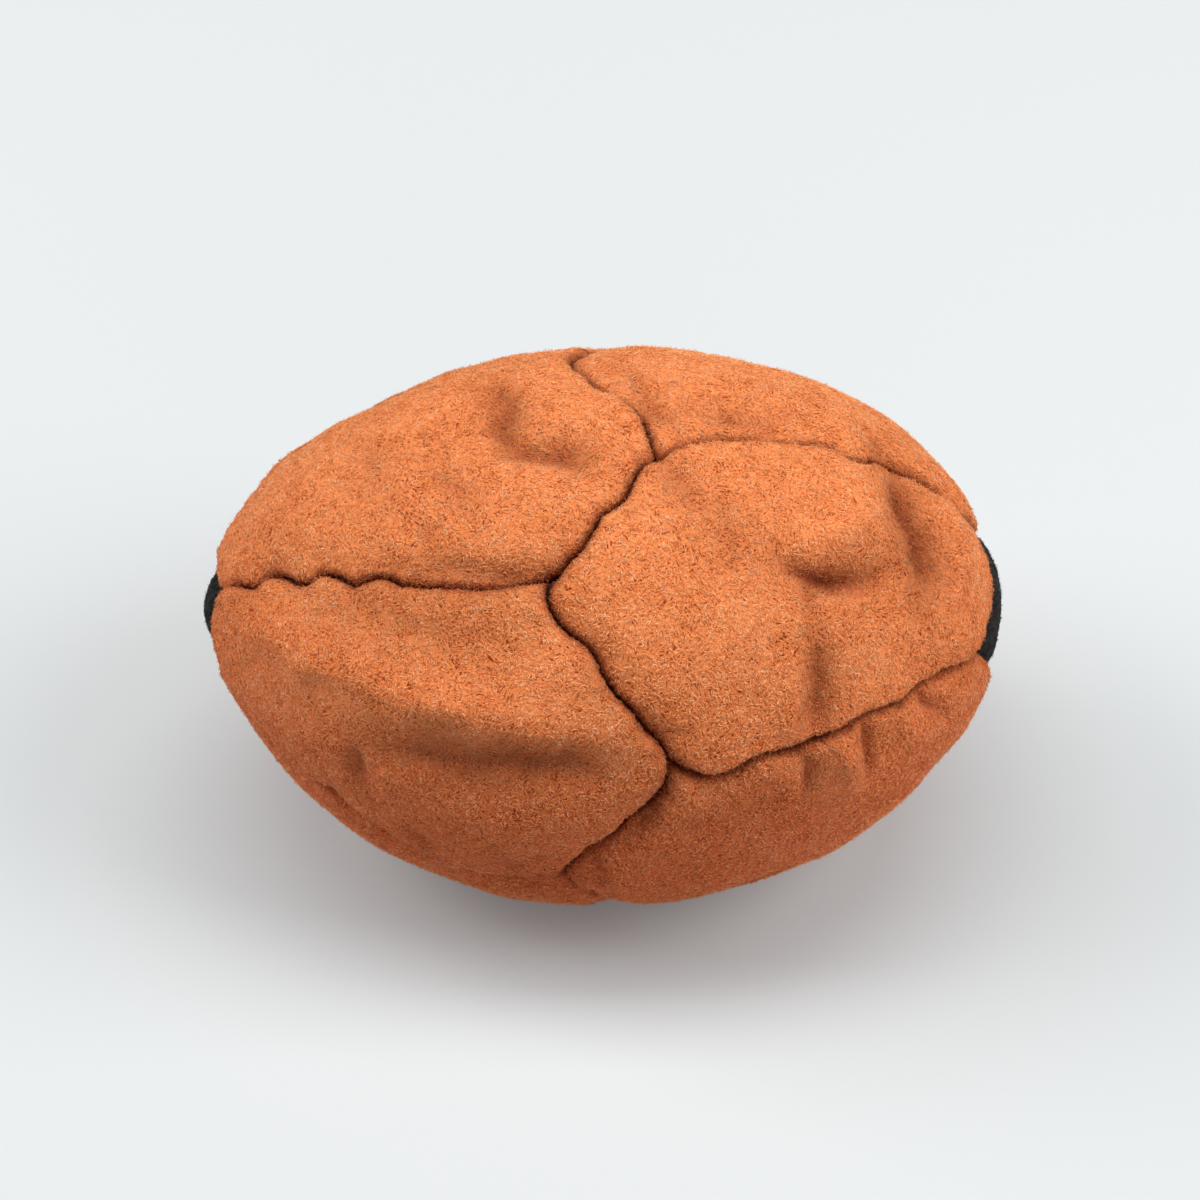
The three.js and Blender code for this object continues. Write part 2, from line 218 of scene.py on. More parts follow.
leftRays = [
    {"swing": closingSwing, "rise": [0.9, 1.2, 0.8, 0.6, 0.5, 0.7, 0.5]},
    {"swing": [0.02, 0.03, 0.01, -0.01, -0.02], "rise": [0.3, 0.4, 0.5, 0.3]},
    {"swing": [-0.02, 0.0, 0.03, 0.02, 0.0], "rise": [-0.4, -0.3, -0.5, -0.2]},
    {"swing": [0.0, 0.02, -0.02, -0.03, -0.01], "rise": [0.3, 0.5, 0.4, 0.3]},
    {"swing": [0.1, 0.08, 0.02, 0.03, 0.02], "rise": [-0.5, -0.6, -0.4, -0.3]},
]
rightRays = [
    {"swing": upperRightSwing, "rise": [-0.4, -0.6, -0.6, 0.0, 0.3, -0.3]},
    {"swing": [0.02, 0.04, 0.03, 0.0, -0.02], "rise": [0.4, 0.5, 0.3, 0.2]},
    {"swing": [-0.03, -0.02, 0.02, 0.03, 0.01], "rise": [-0.3, -0.5, -0.4, -0.3]},
    {"swing": [0.02, -0.01, -0.03, 0.0, 0.02], "rise": [0.5, 0.3, 0.4, 0.2]},
    {"swing": lowerRightSwing, "rise": [0.5, 0.4, -0.4, 0.1, -0.2, 0.2, 0.3]},
]
zigzags = [
    {"swing": innerMiddleSwing, "rise": [-0.4, -0.7, -0.3, -0.5, -0.4]},
    {"swing": upperMiddleSwing, "rise": [0.3, 0.5, 0.5, 0.5, 0.4]},
    {"swing": [0.02, 0.03, 0.01, -0.02, -0.02], "rise": [0.4, 0.6, 0.4]},
    {"swing": [-0.02, -0.01, 0.02, 0.03, 0.01], "rise": [-0.4, -0.6, -0.5]},
    {"swing": [-0.03, -0.03, 0.0, 0.02, 0.03], "rise": [0.3, 0.5, 0.6]},
    {"swing": [0.01, 0.03, 0.03, 0.0, -0.02], "rise": [0.5, 0.3, 0.4]},
    {"swing": [-0.02, 0.0, 0.03, 0.02, 0.0], "rise": [-0.3, -0.3, -0.2]},
    {"swing": [0.03, 0.02, -0.01, -0.02, 0.0], "rise": [-0.3, -0.2, -0.4]},
    {"swing": frontMiddleSwing, "rise": [0.1, 0.0, -0.1, -0.1, 0.0]},
    {"swing": lowerMiddleSwing, "rise": [1.0, 0.9, 0.9, 0.7, 0.3]},
]
patchSwing = [0.08, 0.12, 0.08]
# How far the orange edges ride over the end patches
leftPatchRises = [[1.5, 1.2, 0.8], [0.8, 1.4, 1.2], [1.2, 1.6, 1.2], [1.2, 1.4, 1.0], [0.8, 1.3, 1.5]]
rightPatchRises = [[0.3, 0.6, 1.0], [1.2, 1.5, 1.2], [1.2, 1.6, 1.2], [1.2, 1.5, 1.2], [2.0, 1.7, 0.3]]

# How the suede goes into a seam, in mm
sewing = {
    "halfGap": 0.15,
    "lipReach": 1.25,  # half width of the rounded turn into the seam
    "lipBottom": 3.2,
    "drawIn": 1.2,
    "drawInReach": 4.2,
    "lipDepth": 2.7,  # depth of the turned-in edges, as in the frame
    "threadDepth": 3.9,
    "threadBed": 0.6,
    "allowanceBottom": 5.1,
    "allowanceWall": 1.2,
    "riseReach": 4.2,
    "rollReach": 2.2,  # the lower edge of a seam rolls in more steeply
    "leanShare": 1.05,  # how far an overriding edge leans over, as a share of its rise
    "leanReach": 2.6,
    "puckers": [(4.8, 0.55, 3.4), (2.3, 0.22, 1.8)],  # size, height and reach
    "rippleShare": 0.007,
    "dentShadePerMm": 0.27,  # painted shade in the dents, for each mm of their depth
    "step": 0.5,  # between the points of a seam
    "seenRipples": (15, 24),  # waves along a seam whose wandering is given
    "otherRipples": (3.5, 6, 9.5, 17),
    "rippleFade": 0.7,  # towards the corners
    "cornerBlend": 0.35,  # over which the distances from two seams blend
    "upperShare": 0.75,  # of a rise, on the panel that rides over
    "lowerShares": (0.7, 0.25),  # of it on the panel below, broad and steep
    "mostRise": 1.2,  # that still widens the painted crease shade
    "lumpReach": 3.0,  # the lumps of the sand fade out towards a seam
    "leanDepth": 1.5,  # below the turned-in edges, where the lean ends
    # Painted shade along the seams: how dark it is at a seam, and how far it reaches
    "creaseShade": 0.9,
    "creaseReaches": (0.28, 0.55, 0.35),  # its own, and for each mm of rise below and above
}
sides = 5


# A seam: a great arc between two corners that swings sideways
def makeSeam(a, b, given, number):
    arc = math.acos(a @ b)
    sideways = unit(np.cross(a, b))
    length = np.linalg.norm(formPoint(a) - formPoint(b))
    t = np.linspace(0, 1, round(length / sewing["step"]) + 1)
    isSeen = isinstance(given["swing"][0], tuple)
    swing = smoothThrough(*zip(*given["swing"]), t) if isSeen else evenly([0.0, *given["swing"], 0.0], t)
    source = np.random.default_rng(seeds["seam"] + number)
    longest = sewing["otherRipples"][0]
    for waves in sewing["seenRipples"] if isSeen else sewing["otherRipples"]:
        ripple = np.sin(2 * math.pi * (waves * t + source.random())) * longest / waves
        swing = swing + sewing["rippleShare"] * ripple * np.sin(math.pi * t) ** sewing["rippleFade"]
    onArc = (np.sin((1 - t) * arc)[:, None] * a + np.sin(t * arc)[:, None] * b) / math.sin(arc)
    line = unit(onArc + sideways * (swing * arc)[:, None])
    points = formPoint(line)
    leftwards = unit(np.cross(formNormal(line), np.gradient(points, axis=0)))
    rise = evenly(given["rise"], t)
    return {"line": line, "points": points, "leftwards": leftwards, "rise": rise, "number": number}


cornersOf = {name: [directionAt(*place) for place in places] for name, places in corners.items()}
following = [(i + 1) % sides for i in range(sides)]
leftRaySeams, rightRaySeams, zigzagSeams, leftPatchSeams, rightPatchSeams = [], [], [], [], []
for i, n in enumerate(following):
    left, right = cornersOf["left"], cornersOf["right"]
    leftPatch, rightPatch = cornersOf["leftPatch"], cornersOf["rightPatch"]
    leftRaySeams.append(makeSeam(left[i], leftPatch[i], leftRays[i], i))
    rightRaySeams.append(makeSeam(right[i], rightPatch[i], rightRays[i], 10 + i))
    zigzagSeams.append(makeSeam(left[i], right[i], zigzags[2 * i], 20 + 2 * i))
    zigzagSeams.append(makeSeam(right[i], left[n], zigzags[2 * i + 1], 21 + 2 * i))
    leftGiven = {"swing": patchSwing, "rise": [-rise for rise in leftPatchRises[i]]}
    rightGiven = {"swing": [-swing for swing in patchSwing], "rise": rightPatchRises[i]}
    leftPatchSeams.append(makeSeam(leftPatch[i], leftPatch[n], leftGiven, 40 + i))
    rightPatchSeams.append(makeSeam(rightPatch[i], rightPatch[n], rightGiven, 50 + i))

# Each panel's seams, anticlockwise from outside: (seam, True where it is followed backwards)
outlines = {}
for i, n in enumerate(following):
    outlines[f"left_panel_{i + 1}"] = [
        (leftRaySeams[i], True), (zigzagSeams[2 * i], False), (zigzagSeams[2 * i + 1], False),
        (leftRaySeams[n], False), (leftPatchSeams[i], True),
    ]
    outlines[f"right_panel_{i + 1}"] = [
        (rightRaySeams[i], True), (zigzagSeams[2 * i], True), (zigzagSeams[2 * i - 1], True),
        (rightRaySeams[i - 1], False), (rightPatchSeams[i - 1], False),
    ]
outlines["left_end_patch"] = [(seam, False) for seam in leftPatchSeams]
outlines["right_end_patch"] = [(seam, True) for seam in reversed(rightPatchSeams)]
tipDirections = {"left_end_patch": np.array([-1.0, 0, 0]), "right_end_patch": np.array([1.0, 0, 0])}
print("pattern drawn:", len(outlines), "panels")

# Dents and folds of the cover: places along each as length shares and degrees, its half width and its
# depth in mm. A depth below zero is a ridge.
dents = [
    ([(-0.27, 108), (-0.25, 101), (-0.24, 94), (-0.23, 88)], 3.0, 1.9),
    ([(-0.245, 92), (-0.225, 87), (-0.18, 84), (-0.11, 82), (-0.04, 79)], 2.4, 1.6),
    ([(-0.15, 85), (-0.09, 84), (-0.02, 83)], 2.8, 1.4),
    ([(-0.16, 97), (-0.11, 94), (-0.03, 92)], 4.2, -1.2),
    ([(-0.16, 73), (-0.06, 71)], 3.2, -0.6),
    ([(-0.41, 88), (-0.367, 78), (-0.31, 71)], 3.0, 0.8),
    ([(-0.50, 60), (-0.352, 59.5), (-0.242, 58.5), (-0.13, 59.5)], 2.4, 0.9),
    ([(-0.44, 70), (-0.40, 64)], 2.4, 0.7),
    ([(-0.58, 100), (-0.56, 88), (-0.55, 76)], 4.5, 0.6),
    ([(0.715, 99), (0.735, 90), (0.755, 82), (0.775, 72), (0.785, 63), (0.765, 54)], 4.4, 2.4),
    ([(0.725, 94), (0.745, 85), (0.765, 76)], 2.4, 0.6),
    ([(0.772, 71), (0.785, 62)], 2.6, 0.7),
    ([(0.85, 90), (0.87, 74), (0.87, 60)], 2.6, -0.9),
    ([(0.42, 61), (0.50, 58.5), (0.58, 58), (0.70, 61)], 2.7, 2.4),
    ([(0.47, 58.8), (0.53, 58), (0.59, 58.4)], 1.5, 0.7),
    ([(0.48, 57), (0.488, 48)], 2.0, 1.1),
    ([(0.49, 66), (0.60, 69.5), (0.67, 79)], 3.4, -1.7),
    ([(0.50, 51.5), (0.60, 53), (0.68, 55)], 2.2, -0.6),
    ([(0.50, 43), (0.52, 36), (0.515, 29), (0.53, 22)], 2.9, 2.1),
    ([(0.435, 37), (0.45, 29), (0.462, 22)], 2.6, -0.9),
    ([(0.14, 82), (0.175, 77.5), (0.215, 73)], 2.4, 1.3),
    ([(0.24, 72), (0.30, 66), (0.33, 58)], 4.0, 0.8),
    ([(0.10, 27.5), (0.155, 26), (0.20, 26)], 1.3, 0.7),
    ([(0.17, 18), (0.155, 14), (0.14, 11), (0.10, 5), (0.06, 0)], 1.7, 1.6),
    ([(-0.86, 40), (-0.74, 38), (-0.53, 33.5), (-0.39, 31), (-0.24, 29.5), (-0.03, 26)], 4.6, -2.2),
    ([(-0.70, 52), (-0.45, 47), (-0.20, 44)], 5.0, 0.8),
    ([(-0.52, 18), (-0.32, 19), (-0.12, 20), (0.04, 19)], 5.2, 1.9),
    ([(-0.606, 15), (-0.596, 6.8), (-0.565, -2)], 1.9, 1.3),
    ([(-0.54, 12), (-0.53, 4)], 2.4, -0.6),
    ([(-0.68, 352), (-0.64, 344.5)], 2.0, 0.9),
    ([(-0.47, 354), (-0.42, 347)], 2.0, 0.9),
    ([(-0.25, 352), (-0.21, 345)], 2.4, 0.7),
    ([(0.30, 16), (0.45, 19), (0.62, 23), (0.78, 27)], 4.5, -1.1),
    ([(0.556, 22), (0.596, 14.6), (0.616, 4)], 2.2, -1.4),
    ([(0.619, 23), (0.637, 14), (0.642, 3)], 1.2, 1.8),
    ([(0.47, 20), (0.50, 12), (0.50, 4)], 1.8, 1.4),
    ([(0.768, 26), (0.80, 18), (0.84, 7)], 1.4, 1.3),
    ([(0.72, 16), (0.76, 6)], 2.4, -0.6),
    ([(0.217, 97), (0.317, 97.5), (0.436, 98)], 2.6, 1.2),
    ([(0.27, 108), (0.40, 109)], 3.4, -0.9),
    ([(0.03, 116), (0.09, 104), (0.15, 96), (0.20, 93)], 2.2, 1.2),
    ([(0.66, 108), (0.72, 101)], 1.8, 0.9),
    ([(-0.032, 357), (-0.015, 351), (-0.002, 345)], 0.9, 1.2),
    ([(0.02, 353), (0.04, 346)], 1.8, -0.6),
    ([(0.10, 2), (0.35, 4), (0.50, 0)], 6.0, 0.6),
    ([(-0.2, 138), (-0.45, 140), (-0.7, 138)], 14.0, 0.9),
    ([(-0.88, 126), (-0.83, 138), (-0.78, 150)], 6.0, -1.1),
    ([(0.25, 168), (0.36, 178), (0.5, 180)], 2.5, 2.0),
    ([(0.30, 186), (0.42, 190)], 3.4, -0.8),
    ([(-0.35, 160), (-0.42, 172), (-0.40, 184)], 2.4, 2.0),
    ([(-0.48, 164), (-0.52, 178)], 3.2, -0.9),
    ([(-0.6, 215), (-0.52, 228)], 2.6, 1.6),
    ([(0.45, 215), (0.52, 228), (0.47, 240)], 2.8, 1.8),
    ([(0.66, 260), (0.68, 275), (0.64, 288)], 2.4, 1.3),
    ([(-0.3, 236), (-0.25, 246)], 2.2, 1.3),
    ([(-0.55, 128), (-0.62, 140)], 2.2, 1.3),
    ([(0.62, 135), (0.70, 146), (0.72, 158)], 2.4, 1.8),
    ([(0.30, 325), (0.42, 330), (0.5, 326)], 2.4, 1.2),
    ([(-0.35, 305), (-0.45, 314)], 2.6, 1.3),
]
dentForm = {
    "stations": 24,  # along each
    "uneven": (0.35, 6.0),  # share by which its depth varies, and over how many mm
    "drift": (1.1, 7.0),  # mm by which its course strays, and over how many mm
    "widthsReached": 2.8,
    "endShares": (0.35, 0.65),  # of the depth at its ends, and what its middle adds
    "endTrim": 0.02,
    "broadShare": 0.7,
    "foldShare": 0.3,  # of a narrow fold in its middle
    "foldWidth": 0.45,
}
lumps = [(26.0, 0.55, 3), (11.0, 0.36, 4), (5.5, 0.13, 5), (2.6, 0.05, 6)]  # size and height in mm, seed


# How far the dents raise or lower each point, and how much painted shade they give the nap
def dentHeight(points):
    d = dentForm
    height, dentShade = np.zeros(len(points)), np.zeros(len(points))
    t = np.linspace(0, 1, d["stations"])
    strength = 1 + d["uneven"][0] * softNoise(points, d["uneven"][1], seeds["dentDepth"])
    drift = [softNoise(points, d["drift"][1], seed) for seed in seeds["dentDrift"]]
    points = points + d["drift"][0] * np.stack(drift, -1)
    for places, width, depth in dents:
        ways = np.linspace(0, 1, len(places))
        turns = np.array([directionAt(*place) for place in places])
        line = formPoint(unit(np.stack([smoothThrough(ways, turns[:, k], t) for k in range(3)], -1)))
        middle = line.mean(0)
        reach = np.linalg.norm(line - middle, axis=1).max() + d["widthsReached"] * width
        close = np.flatnonzero(((points - middle) ** 2).sum(1) < reach**2)
        distance, k = nearestOn(points[close], line)
        along = np.sin(math.pi * np.clip(t[k], d["endTrim"], 1 - d["endTrim"]))
        ends = d["endShares"][0] + d["endShares"][1] * along
        broad, fold = (np.exp(-((distance / width / share) ** 2)) for share in (1, d["foldWidth"]))
        valley = d["broadShare"] * broad + d["foldShare"] * fold
        height[close] -= depth * strength[close] * ends * valley
        dentShade[close] += max(depth, 0) * ends * valley
    return height, dentShade


# Height of the cover over the form without the turn into the seams, its sideways lean, the distance from the
# seams, and the painted shade that darkens the nap along the seams and in the dents, where shade falls
def coverRelief(outline, points):
    w = sewing
    height = np.zeros(points.shape[:-1])
    lean = np.zeros(points.shape)
    closeness = np.zeros(points.shape[:-1])
    lower, upper = np.zeros(points.shape[:-1]), np.zeros(points.shape[:-1])
    for seam, back in outline:
        distance, k = nearestOn(points, seam["points"])
        closeness += np.exp(-distance / w["cornerBlend"])
        rise = seam["rise"][k] * (-1 if back else 1)
        broad, steep = (np.exp(-((distance / w[reach]) ** 2)) for reach in ("riseReach", "rollReach"))
        below = w["lowerShares"][0] * broad + w["lowerShares"][1] * steep
        height += rise * np.where(rise > 0, w["upperShare"] * broad, below)
        lower = np.maximum(lower, np.clip(-rise, 0, w["mostRise"]) * broad)
        upper = np.maximum(upper, np.clip(rise, 0, w["mostRise"]) * broad)
        shift = seam["rise"][k] * w["leanShare"] * np.exp(-distance / w["leanReach"])
        lean -= seam["leftwards"][k] * shift[..., None]
        for size, high, reach in w["puckers"]:
            seed = seeds["pucker"] + seam["number"] + (seeds["puckerBack"] if back else 0)
            pucker = softNoise(points, size, seed)
            height += high * pucker * np.exp(-distance / reach)
    blended = -w["cornerBlend"] * np.log(np.maximum(closeness, 1e-30))
    near = np.maximum(blended - w["halfGap"], 0)
    height -= w["drawIn"] * np.exp(-near / w["drawInReach"])
    for size, high, seed in lumps:
        height += high * softNoise(points, size, seed) * (1 - np.exp(-near / w["lumpReach"]))
    dented, dentShade = dentHeight(points)
    narrow, perLower, perUpper = w["creaseReaches"]
    creaseReach = narrow + perLower * lower + perUpper * upper
    paintedCreaseShade = w["creaseShade"] * np.exp(-near / creaseReach) + w["dentShadePerMm"] * dentShade
    return height + dented, lean, near, np.clip(paintedCreaseShade, 0, 1)


# The lean fades out down to the turned-in edges
def leanLeft(depth):
    return np.clip(1 - depth / (sewing["lipDepth"] + sewing["leanDepth"]), 0, 1)[..., None]


# How the rings of points on a panel are laid
ringForm = {
    "leastSlant": 0.4,
    "smoothOver": 9,  # points of the edge over which the slant is evened out
    "nearMost": 0.42,  # of the way to the middle
    "innerShare": 0.7,  # of that way, for the rings further in
    "fewestInner": 4,
}


# Rings of directions from a panel's seams to its middle
def panelRings(name, form):
    lines = [seam["line"][::-1] if back else seam["line"] for seam, back in outlines[name]]
    edge = np.concatenate([line[:-1] for line in lines])
    middle = tipDirections.get(name)
    if middle is None:
        middle = unit(edge.sum(0))
    point = formPoint(edge)
    inward = unit(np.cross(formNormal(edge), np.roll(point, -1, 0) - np.roll(point, 1, 0)))
    way = formPoint(middle) - point
    reach = np.linalg.norm(way, axis=1)
    slant = 1 / np.clip((inward * way).sum(1) / reach, ringForm["leastSlant"], 1)
    count, window = len(slant), ringForm["smoothOver"]
    slant = np.convolve(np.tile(slant, 3), np.ones(window) / window, "same")[count:2 * count]
    near = np.minimum(np.array(form["rings"])[:, None] * slant / reach, ringForm["nearMost"])
    innerCount = int(reach.mean() * ringForm["innerShare"] / form["innerStep"])
    innerCount = max(innerCount, ringForm["fewestInner"])
    inner = near[-1] + (1 - near[-1]) * (np.arange(1, innerCount)[:, None] / innerCount)
    shares = np.concatenate([near, inner])
    return unit(edge * (1 - shares[..., None]) + middle * shares[..., None]), middle


# Each place round a ring, and the next one
def around(count):
    i = np.arange(count)
    return i, (i + 1) % count


# Faces between rings that follow each other outwards, seen from outside
def ringFaces(ringCount, count):
    i, j = around(count)
    a = np.arange(ringCount - 1)[:, None] * count
    b = a + count
    return np.stack([a + i, b + i, b + j, a + j], -1).reshape(-1, 4)


panelSuede = {
    "wall": 1.2,
    "innerStep": 0.42,
    "rings": [  # distances from the seams
        0.15, 0.18, 0.24, 0.32, 0.42, 0.54, 0.68, 0.84, 1.02, 1.24, 1.5, 1.8, 2.15, 2.55, 3.0, 3.5, 4.1,
    ],
    "underEvery": 3,  # the inside has only every third ring
    "fill": 0.9,
    "floorGap": 0.02,  # over the floor, where the suede rests
    "floorSoftness": 0.35,
    "lowFrom": -0.75,  # how far a place faces down, where the painted shade of the underside begins
    "lowFull": 0.25,
}


# Points that would go through the floor rest on it
def restOnFloor(points):
    soft = panelSuede["floorSoftness"]
    z = points[..., 2] + ballMiddle[2] - panelSuede["floorGap"]
    rested = points.copy()
    lifted = np.where(z < soft, soft * np.exp(np.minimum(z / soft - 1, 0)), z)
    rested[..., 2] = lifted + panelSuede["floorGap"] - ballMiddle[2]
    return rested


def setShade(piece, name, shade):
    layer = piece.data.attributes.new(name, "FLOAT", "POINT")
    layer.data.foreach_set("value", shade.astype(np.float32))


# Painted shade: the nap is made darker and redder where the cover faces down, away from the lights
def paintedUndersideShade(points):
    facing = formNormal(unit(points / ball["bellyRadius"]))[..., 2]
    return smoothstep(panelSuede["lowFrom"], panelSuede["lowFull"], -facing)


# One panel: crowned suede whose edge turns in over a rounded lip and ends in the seam allowance
def makePanel(name):
    w = sewing
    rings, middle = panelRings(name, panelSuede)
    ringCount, count = rings.shape[:2]
    directions = np.concatenate([rings.reshape(-1, 3), middle[None]])
    points, normals = formPoint(directions), formNormal(directions)
    height, lean, near, paintedCreaseShade = coverRelief(outlines[name], points)
    turned = 1 - np.sqrt(1 - (1 - np.minimum(near / w["lipReach"], 1)) ** 2)
    height = np.maximum(height - (height + w["lipBottom"]) * turned, -w["lipBottom"])
    outside = restOnFloor(points + normals * height[:, None] + lean * leanLeft(-height))
    grid, crown = outside[:-1].reshape(rings.shape), outside[-1]
    edgeLean = lean[:-1].reshape(rings.shape)[0]

    def sunk(ring, depth):
        place = formPoint(rings[ring]) - formNormal(rings[ring]) * depth
        return place + edgeLean * leanLeft(np.array(depth))

    distances = np.array(panelSuede["rings"]) - w["halfGap"]
    bed = int(np.searchsorted(distances, w["threadBed"]))
    rib = int(np.searchsorted(distances, w["allowanceWall"]))
    turnedIn = [
        sunk(0, w["threadDepth"] - w["threadBed"]),
        sunk(bed, w["threadDepth"]),
        sunk(0, w["threadDepth"] + w["threadBed"]),
        sunk(0, w["allowanceBottom"]),
        sunk(rib, w["allowanceBottom"]),
    ]
    every = panelSuede["underEvery"]
    underRings = [len(distances) - every, *range(len(distances), ringCount, every)]
    under = [grid[k] - formNormal(rings[k]) * panelSuede["wall"] for k in underRings]
    loops = [*grid[::-1], *turnedIn, *under]
    last = len(loops) * count
    ends = [crown, crown - formNormal(middle) * panelSuede["wall"]]
    i, j = around(count)
    caps = [np.full(count, last), i, j, np.full(count, last + 1), last - count + j, last - count + i]
    faces = [ringFaces(len(loops), count), np.stack(caps[:3], 1), np.stack(caps[3:], 1)]
    skin = np.concatenate([*loops, ends])
    piece = buildMesh(f"{name}_suede", skin, faces)
    shades = paintedCreaseShade[:-1].reshape(ringCount, count)
    crownRing = np.broadcast_to(crown, (1, count, 3))
    crownShades = np.full((1, count), paintedCreaseShade[-1])
    shade = np.ones(len(piece.data.vertices))
    shade[:ringCount * count], shade[-2] = shades[::-1].ravel(), paintedCreaseShade[-1]
    # Painted shade: along the seams and in the dents, and on the underside
    setShade(piece, "paintedCreaseShade", shade)
    setShade(piece, "low", paintedUndersideShade(skin))
    return piece, np.concatenate([grid, crownRing]), np.concatenate([shades, crownShades])


# Fibres for each square mm, their length and width in mm, their lift in degrees, and the rings that they
# stand on, counted from the seams
nap = {
    "nap": [{"perSquare": 7.0, "length": (0.45, 1.0), "width": (0.1, 0.18), "lift": (3, 22), "rings": 400}],
    "fuzz": [
        {"perSquare": 1.6, "length": (0.4, 0.95), "width": (0.05, 0.08), "lift": (25, 75), "rings": 400},
        {"perSquare": 2.5, "length": (0.3, 0.7), "width": (0.05, 0.11), "lift": (15, 50), "rings": 8},
    ],
    "layPatch": 2.2,  # mm across which the nap lies one way
    "layFrom": (0.3, 0.2, 0.93),  # a direction that the lay is counted from
    "layScatter": 0.9,
    "curl": 0.8,
    "droop": 0.9,  # share of the lift that is lost on the outer half
    "rootShare": 0.5,  # of the half width, sunk into the suede
    "bodyShare": 0.9,
    "ridgeShare": 0.9,
    "clearOfFloor": 0.5,
}


# The raised nap: short curled tapering fibres, each a closed form rooted in the suede
def makeNap(name, kinds, grid, shades, seed):
    source = np.random.default_rng(seed)
    points, faces, creaseShades, start = [], [], [], 0
    for kind in nap[kinds]:
        g = grid[:kind["rings"]]
        a, b = g[:-1], g[1:]
        a, b, c, d = (q.reshape(-1, 3) for q in (a, b, np.roll(a, -1, 1), np.roll(b, -1, 1)))
        cross = np.cross(b - c, d - a)
        area = np.linalg.norm(cross, axis=1) / 2
        rootShade = shades[:kind["rings"]][:-1].ravel()
        count = int(kind["perSquare"] * area.sum())
        k = source.choice(len(area), count, p=area / area.sum())
        u, v = source.random((2, count, 1))
        root = (a[k] * (1 - u) + c[k] * u) * (1 - v) + (b[k] * (1 - u) + d[k] * u) * v
        up = unit(cross[k])
        up *= np.sign((up * root).sum(1))[:, None]
        lay = 2 * math.pi * softNoise(root, nap["layPatch"], seeds["napLay"])
        lay = lay + source.normal(0, nap["layScatter"], count)
        east = unit(np.cross(up, nap["layFrom"]))
        lift = np.radians(source.uniform(*kind["lift"], count))
        length = source.uniform(*kind["length"], count)[:, None] / 2
        half = source.uniform(*kind["width"], count)[:, None] / 2
        curl = source.normal(0, nap["curl"], count)
        spine, ways = [root - up * half * nap["rootShare"]], []
        for joint in range(2):
            turned, raised = lay + curl * (joint - 0.5), lift * (1 - nap["droop"] * joint)
            level = east * np.cos(turned)[:, None] + np.cross(up, east) * np.sin(turned)[:, None]
            way = level * np.cos(raised)[:, None] + up * np.sin(raised)[:, None]
            ways.append(way)
            spine.append(spine[-1] + way * length)
        floor = panelSuede["floorGap"] - ballMiddle[2]
        keep = np.minimum.reduce([place[:, 2] for place in spine]) > floor + nap["clearOfFloor"]
        cloud = []  # 7 points for each fibre: two rings of 3, and its end
        for joint in range(2):
            side = unit(np.cross(ways[joint], up))
            spokes = up * nap["ridgeShare"], side, -side
            cloud += [spine[joint] + spoke * half * nap["bodyShare"] for spoke in spokes]
        cloud = np.stack([*cloud, spine[2]], 1)[keep].reshape(-1, 3)
        first = start + 7 * np.arange(keep.sum())[:, None]
        points.append(cloud)
        creaseShades.append(np.repeat(rootShade[k][keep], 7))
        for i, j in ((0, 1), (1, 2), (2, 0)):
            faces.append(first + np.array([i, j, j + 3]))
            faces.append(first + np.array([i, j + 3, i + 3]))
            faces.append(first + np.array([i + 3, j + 3, 6]))
        faces.append(first + np.array([0, 2, 1]))
        start += len(cloud)
    piece = buildMesh(f"{name}_{kinds}", np.concatenate(points), faces)
    # Each fibre carries the painted shade of the suede that it stands on
    setShade(piece, "paintedCreaseShade", np.concatenate(creaseShades))
    setShade(piece, "low", paintedUndersideShade(np.concatenate(points)))
    return piece


# A node's inputs: a socket is linked, and anything else is set
def setInputs(node, inputs):
    for key, value in inputs.items():
        if isinstance(value, bpy.types.NodeSocket):
            node.id_data.links.new(value, node.inputs[key])
        else:
            node.inputs[key].default_value = value


# One small function adds a node with its settings and links
def addNode(tree, kind, inputs=None, **settings):
    node = tree.nodes.new("ShaderNode" + kind)
    for key, value in settings.items():
        setattr(node, key, value)
    setInputs(node, inputs or {})
    return node


# An sRGB hex colour as linear values
def linear(hexColour):
    channels = [int(hexColour[i:i + 2], 16) / 255 for i in (1, 3, 5)]
    return [c / 12.92 if c <= 0.04045 else ((c + 0.055) / 1.055) ** 2.4 for c in channels] + [1.0]


def newMaterial(name, roughness):
    material = bpy.data.materials.new(name)
    material.use_nodes = True
    shader = material.node_tree.nodes["Principled BSDF"]
    shader.inputs["Roughness"].default_value = roughness
    return material, material.node_tree, shader


# Object coordinates in mm, so that a pattern's scale is one over its real size
def millimetres(tree):
    place = addNode(tree, "TexCoord").outputs["Object"]
    return addNode(tree, "VectorMath", {0: place, "Scale": 1000.0}, operation="SCALE").outputs[0]


# Brushed split suede. To the eye it is matt and soft, with short worm-like streaks of nap that lie this way
# and that, cloudy where a hand has brushed it, and no highlight, only a faint velvet rim. Sizes are in mm.
suede = {
    "streakWidth": 0.24,
    "streakLay": 1.6,  # across which streaks lie one way
    "streakStretch": 0.8,
    "brushedPatch": 9.0,
    "tuftSize": 2.2,
    "streakDepth": 0.12,
    "tuftDepth": 0.12,
    "coverShares": (1.4, 0.35, 0.25),  # how much streaks, tufts and brushed patches vary the colour
    "napShares": (0.55, 0.45, 0.4),  # the same for single fibres, tufts and brushed patches
    "coverStops": (0.24, 0.43, 0.85),  # where the dark, middle and light colours stand
    "napStops": (0.12, 0.5, 0.88),
    "creaseGain": 1.2,  # how unevenly the painted crease shade darkens
    "creaseLeast": 0.4,
    "roughness": 0.92,
    "specular": 0.2,
    "sheen": 0.06,
    "sheenRoughness": 0.5,
}
